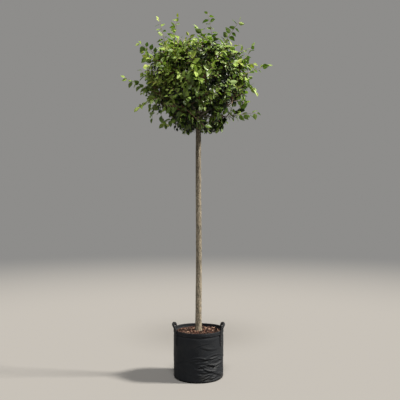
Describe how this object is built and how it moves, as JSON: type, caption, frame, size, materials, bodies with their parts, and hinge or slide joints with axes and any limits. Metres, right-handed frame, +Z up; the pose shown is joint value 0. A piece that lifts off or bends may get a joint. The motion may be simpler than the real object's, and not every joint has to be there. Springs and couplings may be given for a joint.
{
  "type": "standard lollipop tree in a planter bag",
  "caption": "Small ornamental tree on a clear straight stem with a dense round head and loose long shoots, standing in a black fabric planter bag with strap handles.",
  "frame": {"origin": "centre of the flat underside of the planter bag, where it stands", "axes": "+Z up along the stem, +X to the right hand strap handle, -Y to the front"},
  "size_m": [1.2031, 1.0165, 2.9268],
  "materials": {
    "bag_fabric": "black woven fabric, satin",
    "strap_webbing": "black webbing, satin",
    "compost": "moist and matte",
    "bark_chips": "rough, matte",
    "bark": "smooth young bark, matte",
    "leaves": "glossy green leaves"
  },
  "bodies": {
    "root": {"planter_bag": "bag_fabric", "handle_left": "strap_webbing", "handle_right": "strap_webbing", "compost": "compost", "bark_mulch": "bark_chips", "trunk": "bark", "bough_01": "bark", "bough_02": "bark", "bough_03": "bark", "bough_04": "bark", "bough_05": "bark", "bough_06": "bark", "bough_07": "bark", "bough_08": "bark", "bough_09": "bark", "bough_10": "bark", "bough_11": "bark", "bough_12": "bark", "bough_13": "bark", "bough_14": "bark", "foliage_01": "leaves", "foliage_02": "leaves", "foliage_03": "leaves", "foliage_04": "leaves", "foliage_05": "leaves", "foliage_06": "leaves", "foliage_07": "leaves", "foliage_08": "leaves", "foliage_09": "leaves", "foliage_10": "leaves", "foliage_11": "leaves", "foliage_12": "leaves", "foliage_13": "leaves", "foliage_14": "leaves"}
  },
  "joints": []
}
